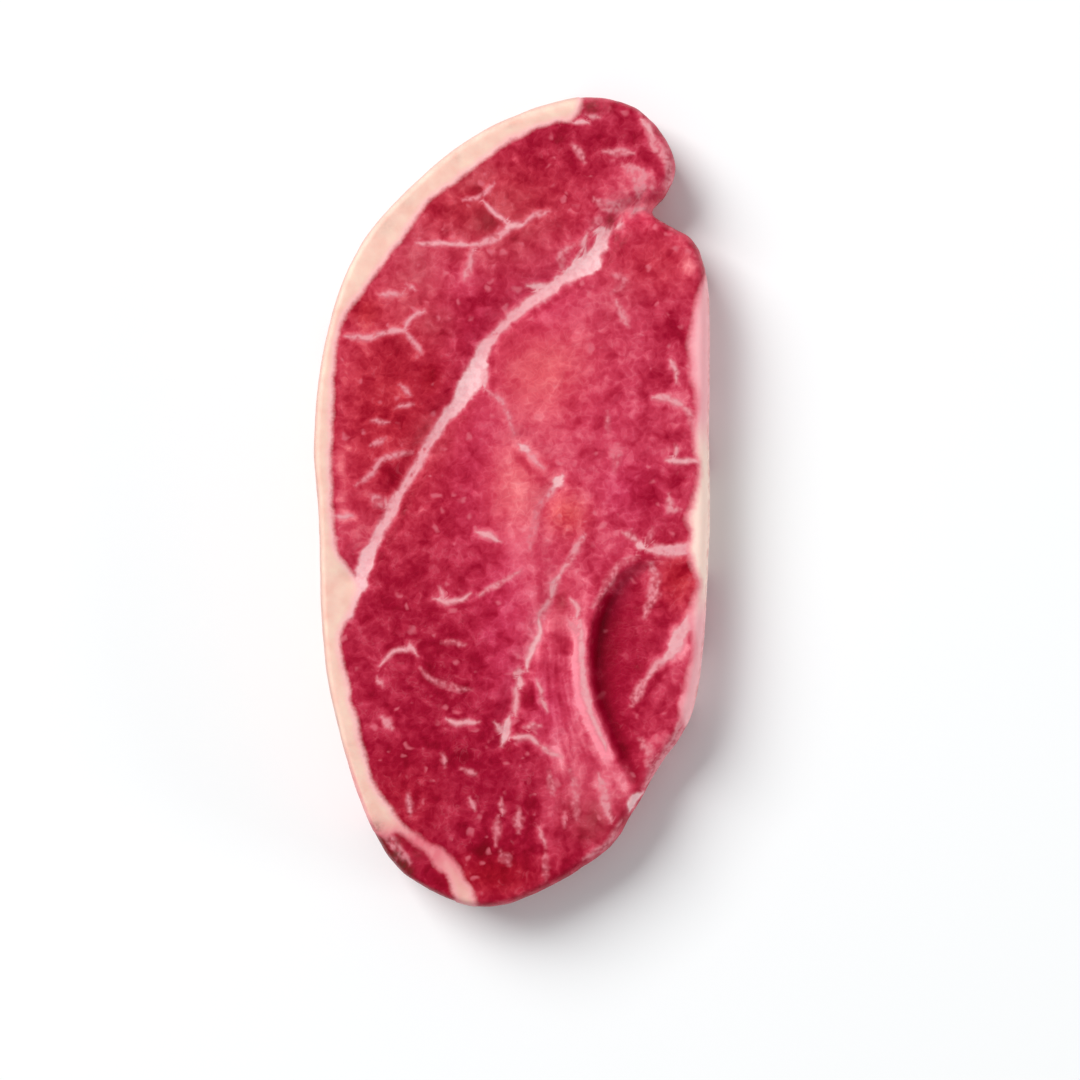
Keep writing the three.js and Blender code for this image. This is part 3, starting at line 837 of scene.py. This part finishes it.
def moved(vector, scale, offset=(0, 0, 0), turn=0.0):
    """The grain's places, stretched, shifted and turned, so that each texture has its own."""
    node = tree.nodes.new("ShaderNodeMapping")
    join(vector, node.inputs["Vector"])
    node.inputs["Location"].default_value = offset
    node.inputs["Rotation"].default_value = (0, 0, math.radians(turn))
    node.inputs["Scale"].default_value = scale
    return node.outputs[0]


def speckle(vector, detail=2.0, distortion=0.0):
    """Soft noise, from 0 to 1."""
    node = tree.nodes.new("ShaderNodeTexNoise")
    join(vector, node.inputs["Vector"])
    node.inputs["Scale"].default_value = 1.0
    node.inputs["Detail"].default_value = detail
    node.inputs["Distortion"].default_value = distortion
    return node.outputs["Fac"]


def cells(vector, feature):
    """Voronoi cells, as they pack together in a cut across fibres."""
    node = tree.nodes.new("ShaderNodeTexVoronoi")
    node.feature = feature
    join(vector, node.inputs["Vector"])
    node.inputs["Scale"].default_value = 1.0
    return node


def graded(value, stops):
    """The colour that the value comes to between those stops."""
    node = tree.nodes.new("ShaderNodeValToRGB")
    join(value, node.inputs["Fac"])
    ramp = node.color_ramp
    while len(ramp.elements) < len(stops):
        ramp.elements.new(0.5)
    for element, (place, colour) in zip(ramp.elements, stops):
        element.position = place
        element.color = linear(*colour)
    return node.outputs["Color"]


grain = read("grain", "Vector")

# Bundles of fibre, 1 to 2 mm across, each its own red, parted by paler sheaths.
warp = tree.nodes.new("ShaderNodeTexNoise")
join(moved(grain, (0.35, 0.35, 0.35)), warp.inputs["Vector"])
warp.inputs["Scale"].default_value = 1.0
warp.inputs["Detail"].default_value = 1.0
shift = tree.nodes.new("ShaderNodeVectorMath")
shift.operation = "MULTIPLY_ADD"
join(warp.outputs["Color"], shift.inputs[0])
shift.inputs[1].default_value = (3.0, 3.0, 3.0)
join(grain, shift.inputs[2])
warped = shift.outputs[0]
bundle = cells(moved(warped, (0.62, 0.62, 0.5)), "F1")
sheath = cells(moved(warped, (0.62, 0.62, 0.5)), "DISTANCE_TO_EDGE")
in_sheath = step_between(sheath.outputs["Distance"], 0.0, 0.22, 1.0, 0.0)
split_bundle = tree.nodes.new("ShaderNodeSeparateColor")
join(bundle.outputs["Color"], split_bundle.inputs[0])

# The lean meat: broad soft blotches, smaller ones, and streaks where the fibres lie over.
blotches = speckle(moved(warped, (0.25, 0.25, 0.27)), 1.5)
mottling = speckle(moved(grain, (0.70, 0.70, 0.6), (7, 3, 0)), 1.0)
streaky = speckle(moved(read("lie", "Vector"), (0.36, 0.085, 0.4), (5, 5, 0)), 1.5)

texture = 0.0
for value, strength in ((blotches, 0.70), (mottling, 0.18), (split_bundle.outputs[0], 0.07)):
    texture = sums("MULTIPLY_ADD", sums("SUBTRACT", value, 0.5), strength, texture)
lively_here = read("lively")
# The tone read here carries painted shade along the seam, the fissure and the lip's foot.
level = sums("MULTIPLY_ADD", texture, lively_here, sums("ADD", read("tone_and_shade"), 0.48))
streak_strength = sums("MULTIPLY", read("fibrous"), 0.9)
level = sums("MULTIPLY_ADD", sums("SUBTRACT", streaky, 0.5), streak_strength, level)
level = sums("MULTIPLY_ADD", in_sheath, 0.04, level)

# Marbling too fine to place one by one: flecks between the bundles, and short curling wisps.
fleck_cell = cells(moved(warped, (0.28, 0.32, 0.3), (3, 8, 0), 25), "F1")
split_fleck = tree.nodes.new("ShaderNodeSeparateColor")
join(fleck_cell.outputs["Color"], split_fleck.inputs[0])
fleck_size = step_between(split_fleck.outputs[0], 0.45, 1.0, 0.02, 0.24)
fleck_gap = sums("SUBTRACT", fleck_size, fleck_cell.outputs["Distance"])
fleck = step_between(fleck_gap, -0.14, 0.14)
fleck = sums("MULTIPLY", fleck, step_between(split_fleck.outputs[0], 0.45, 0.6))
wisp_noise = speckle(moved(grain, (0.30, 0.30, 0.3), (1, 6, 0)), 2.0, 0.9)
wisp = step_between(sums("ABSOLUTE", sums("SUBTRACT", wisp_noise, 0.5)), 0.0, 0.05, 1.0, 0.0)
wisp = sums("MULTIPLY", wisp, step_between(blotches, 0.50, 0.66))
marbling = sums("MAXIMUM", sums("MULTIPLY", fleck, 0.62), sums("MULTIPLY", wisp, 0.16))
marbling = sums("MULTIPLY", marbling, step_between(lively_here, 0.4, 0.9, 0.3, 1.0))
level = sums("MULTIPLY_ADD", step_between(fleck_gap, -0.3, 0.1), 0.08, level)

# The strands: palest along their middle, frayed and pink at their border, and broken in places.
strand = tree.nodes.new("ShaderNodeSeparateXYZ")
join(read("strand", "Vector"), strand.inputs[0])
signed_off, plain_off, strand_width = strand.outputs
white = read("whiteness")
meander = speckle(moved(grain, (0.26, 0.26, 0.3), (3, 3, 0)), 1.0)
signed_off = sums("MULTIPLY_ADD", sums("SUBTRACT", meander, 0.5), 1.3, signed_off)
off_strand = sums("MAXIMUM", sums("ABSOLUTE", signed_off), sums("SUBTRACT", plain_off, 0.5))
frays = speckle(moved(grain, (1.1, 1.1, 0.7), (8, 2, 0)), 2.0)
width_here = sums("MULTIPLY", strand_width, step_between(blotches, 0.3, 0.7, 0.8, 1.2))
width_here = sums("MULTIPLY_ADD", sums("SUBTRACT", frays, 0.5), 0.6, width_here)
outer_off = sums("ADD", width_here, 0.7)
inner_off = sums("MINIMUM", sums("SUBTRACT", width_here, 0.6), sums("MULTIPLY", width_here, 0.1))
inner_off = sums("MAXIMUM", sums("SUBTRACT", width_here, 0.8), inner_off)
core = step_between(off_strand, inner_off, outer_off, 1.0, 0.0)
halo = step_between(off_strand, width_here, sums("ADD", width_here, 1.8), 1.0, 0.0)
level = sums("MULTIPLY_ADD", sums("MULTIPLY", halo, step_between(white, 0.0, 0.5)), 0.12, level)
lean = graded(level, LEAN_TONES)
lean = tinted(read("ruddy"), lean, linear(*RUDDY_TINT))
lean = tinted(read("purple"), lean, linear(*PURPLE_TINT))
filmy = sums("MULTIPLY", read("film"), step_between(blotches, 0.35, 0.65, 0.10, 0.34))
lean = blend(filmy, lean, linear(*FILM))
lean = blend(marbling, lean, linear(*STRAND_PINK))
breaks = step_between(sums("ADD", mottling, sums("MULTIPLY", white, 0.6)), 0.45, 0.8, 0.3, 1.0)
strand_share = sums("MULTIPLY", core, breaks)
pale_share = sums("MULTIPLY", sums("MULTIPLY", core, core), sums("MULTIPLY", white, 0.85))
pale_share = sums("MULTIPLY", pale_share, step_between(mottling, 0.3, 0.6, 0.75, 1.0))
strand_colour = blend(pale_share, linear(*STRAND_PINK), linear(*STRAND_WHITE))
meat_colour = blend(strand_share, lean, strand_colour)

# The fat of the rim, pinker where it meets the lean meat, and the thin rim on the right.
waver = sums("MULTIPLY_ADD", sums("SUBTRACT", frays, 0.5), 0.8, sums("SUBTRACT", meander, 0.5))
fat_here = sums("ADD", read("fat_depth"), waver)
fat_level = speckle(moved(grain, (0.25, 0.25, 0.4), (9, 1, 0)), 2.5)
fat_tone = graded(sums("MULTIPLY_ADD", sums("SUBTRACT", fat_level, 0.5), 1.8, 0.5), FAT_TONES)
creamy = read("cream")
# Painted shade down the fat's outer side.
fat_tone = blend(read("outer_shade"), fat_tone, linear(*SHADED_OUTER_FAT))
salmon = blend(step_between(streaky, 0.4, 0.62, 0.0, 0.7), linear(*SALMON), linear(*PALE_SALMON))
fat_colour = blend(creamy, salmon, fat_tone)
border_colour = blend(creamy, linear(*SALMON), linear(*RIM_PINK))
fat_colour = blend(step_between(fat_here, 0.0, 2.2, 0.75, 0.0), fat_colour, border_colour)
meat_colour = blend(step_between(fat_here, -0.9, 0.9), meat_colour, fat_colour)
rim_here = sums("ADD", read("rim_depth"), waver)
rim_colour = blend(creamy, linear(*RIM_PINK), linear(*RIM_CREAM))
rim_colour = blend(step_between(rim_here, 0.0, 2.4, 0.9, 0.0), rim_colour, linear(*RIM_ROSE))
meat_colour = blend(step_between(rim_here, -1.0, 1.0), meat_colour, rim_colour)
in_any_fat = sums("MAXIMUM", step_between(fat_here, -0.9, 0.9), step_between(rim_here, -1.0, 1.0))
# Down the walls the fat has pinker lines of gristle in it, from face to face.
wall_lines = speckle(moved(grain, (0.5, 0.5, 0.6), (2, 9, 0)), 3.0, 0.3)
wall_lines = sums("MULTIPLY", step_between(wall_lines, 0.36, 0.74, 0.0, 0.75), read("wall"))
meat_colour = blend(sums("MULTIPLY", wall_lines, in_any_fat), meat_colour, linear(*WALL_ROSE))
browning = sums("MULTIPLY", read("browned"), step_between(frays, 0.3, 0.6, 0.5, 1.0))
meat_colour = blend(browning, meat_colour, linear(*BROWN))
join(meat_colour, shader.inputs["Base Color"])

# A wet sheen, a little broken up, and the finest bumps.
join(step_between(mottling, 0.3, 0.7, 0.32, 0.46), shader.inputs["Roughness"])
fine_bumps = sums("SUBTRACT", sums("MULTIPLY_ADD", in_sheath, -0.15, mottling), 0.5)
fine_bumps = sums("MULTIPLY", fine_bumps, sums("MULTIPLY_ADD", in_any_fat, -0.7, 1.0))
bump = tree.nodes.new("ShaderNodeBump")
bump.inputs["Strength"].default_value = 0.3
bump.inputs["Distance"].default_value = 0.4 * MM
join(fine_bumps, bump.inputs["Height"])
join(bump.outputs[0], shader.inputs["Normal"])
shader.inputs["IOR"].default_value = 1.38
shader.inputs["Specular IOR Level"].default_value = 0.16
shader.inputs["Subsurface Weight"].default_value = 0.08
shader.inputs["Subsurface Radius"].default_value = (1.0, 0.3, 0.25)
shader.inputs["Subsurface Scale"].default_value = 1.0 * MM

mesh.materials.append(material)
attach(meat, "root")
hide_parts("rump_steak")


# ---- The floor and the light --------------------------------------------------------------------
# A plain white surface under soft light from the upper left, so that the shadow falls to the lower
# right, close round the slice.
FLOOR_SIZE = 8000.0
FLOOR_WHITE = 0.92

floor_mesh = bpy.data.meshes.new("floor")
half = FLOOR_SIZE / 2 * MM
corners = [(-half, -half, 0), (half, -half, 0), (half, half, 0), (-half, half, 0)]
floor_mesh.from_pydata(corners, [], [(0, 1, 2, 3)])
floor = bpy.data.objects.new("floor", floor_mesh)
floor_material = bpy.data.materials.new("white_floor")
floor_material.use_nodes = True
floor_shader = floor_material.node_tree.nodes["Principled BSDF"]
floor_shader.inputs["Base Color"].default_value = (FLOOR_WHITE, FLOOR_WHITE, FLOOR_WHITE, 1)
floor_shader.inputs["Roughness"].default_value = 0.9
floor_shader.inputs["Specular IOR Level"].default_value = 0.1
floor_mesh.materials.append(floor_material)
bpy.context.collection.objects.link(floor)


def soft_light(name, place, size, power, mirrored=True):
    """A square lamp that faces the slice from that place, mirrored in its wet surface or not."""
    lamp = bpy.data.lights.new(name, "AREA")
    lamp.shape = "SQUARE"
    lamp.size = size * MM
    lamp.energy = power
    holder = bpy.data.objects.new(name, lamp)
    holder.location = Vector(place) * MM
    holder.rotation_euler = (-Vector(place)).to_track_quat("-Z", "Y").to_euler()
    holder.visible_glossy = mirrored
    bpy.context.collection.objects.link(holder)


soft_light("key_light", place=(-2600, 2400, 3000), size=2800, power=246)
soft_light("fill_light", place=(4100, -950, 760), size=1300, power=58, mirrored=False)

SKY_COLOUR = (0.96, 1.0, 1.02, 1)
SKY_STRENGTH = 0.39

world = bpy.data.worlds.new("studio")
world.use_nodes = True
sky = world.node_tree.nodes["Background"]
sky.inputs["Color"].default_value = SKY_COLOUR
sky.inputs["Strength"].default_value = SKY_STRENGTH
bpy.context.scene.world = world
